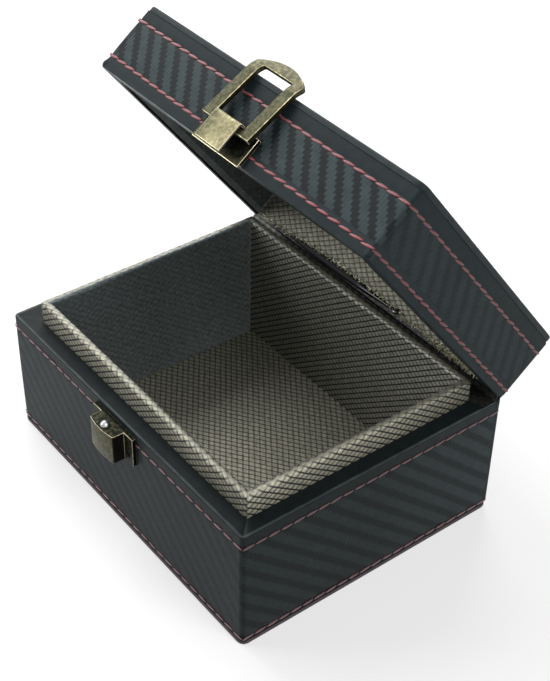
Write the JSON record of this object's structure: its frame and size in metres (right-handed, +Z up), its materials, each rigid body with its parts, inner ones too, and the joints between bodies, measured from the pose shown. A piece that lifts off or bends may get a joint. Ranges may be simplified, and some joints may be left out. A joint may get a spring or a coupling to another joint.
{
  "type": "faraday key box",
  "caption": "Small leatherette-covered signal-blocking key box with a fabric-lined tray, a hinged lid, red stitching and an antique-brass hasp and catch.",
  "frame": {"origin": "centre of the underside, on the table", "axes": "+X to the box's right, +Y to its back where the hinge is, +Z up; the hasp faces -Y"},
  "size_m": [0.1306, 0.128, 0.1464],
  "materials": {
    "leatherette": "embossed twill, semi-matt",
    "cover_leatherette": "smooth, satin",
    "hinge_leatherette": "glossy",
    "shield_fabric": "metallised ripstop weave",
    "fibreboard": "raw",
    "red_thread": "polyester thread",
    "antique_brass": "antique, worn at the edges",
    "blackened_steel": "black"
  },
  "bodies": {
    "base": {"catch_nails": "antique_brass", "bottom_cover": "cover_leatherette", "base_front_board": "fibreboard", "base_back_board": "fibreboard", "base_left_board": "fibreboard", "base_right_board": "fibreboard", "base_floor_board": "fibreboard", "base_leather_wrap": "leatherette", "ledge_trim": "cover_leatherette", "base_back_cover": "cover_leatherette", "hinge_leather": "hinge_leatherette", "hinge_lining": "shield_fabric", "tray_front_board": "fibreboard", "tray_back_board": "fibreboard", "tray_left_board": "fibreboard", "tray_right_board": "fibreboard", "tray_front_lining": "shield_fabric", "tray_back_lining": "shield_fabric", "tray_left_lining": "shield_fabric", "tray_right_lining": "shield_fabric", "tray_floor_board": "fibreboard", "tray_floor_lining": "shield_fabric", "catch_body": "antique_brass", "catch_stud": "antique_brass", "base_upper_stitching": "red_thread", "base_lower_stitching": "red_thread"},
    "lid": {"hasp_nails": "antique_brass", "lid_top_cover": "cover_leatherette", "lid_front_leather": "leatherette", "lid_left_leather": "leatherette", "lid_right_leather": "leatherette", "lid_front_board": "fibreboard", "lid_back_board": "fibreboard", "lid_left_board": "fibreboard", "lid_right_board": "fibreboard", "lid_top_board": "fibreboard", "lid_ceiling_lining": "shield_fabric", "lid_front_lining": "shield_fabric", "lid_back_lining": "shield_fabric", "lid_left_lining": "shield_fabric", "lid_right_lining": "shield_fabric", "lid_back_cover": "cover_leatherette", "lid_rim_trim": "cover_leatherette", "hinge_strap": "hinge_leatherette", "strap_tack": "blackened_steel", "lid_upper_stitching": "red_thread", "lid_lower_stitching": "red_thread", "hasp_plate": "antique_brass"},
    "loop": {"hasp_loop": "antique_brass"}
  },
  "joints": [
    {"name": "lid_hinge", "type": "hinge", "parent": "base", "child": "lid", "pos_m": [0, 0.0508, 0.0467], "axis": [-1, 0, 0], "range_deg": [-52.6, 52.4]},
    {"name": "loop_pivot", "type": "hinge", "parent": "lid", "child": "loop", "pos_m": [-0.0014, -0.00729, 0.13503], "axis": [1, 0, 0], "range_deg": [0, 187.76]}
  ]
}
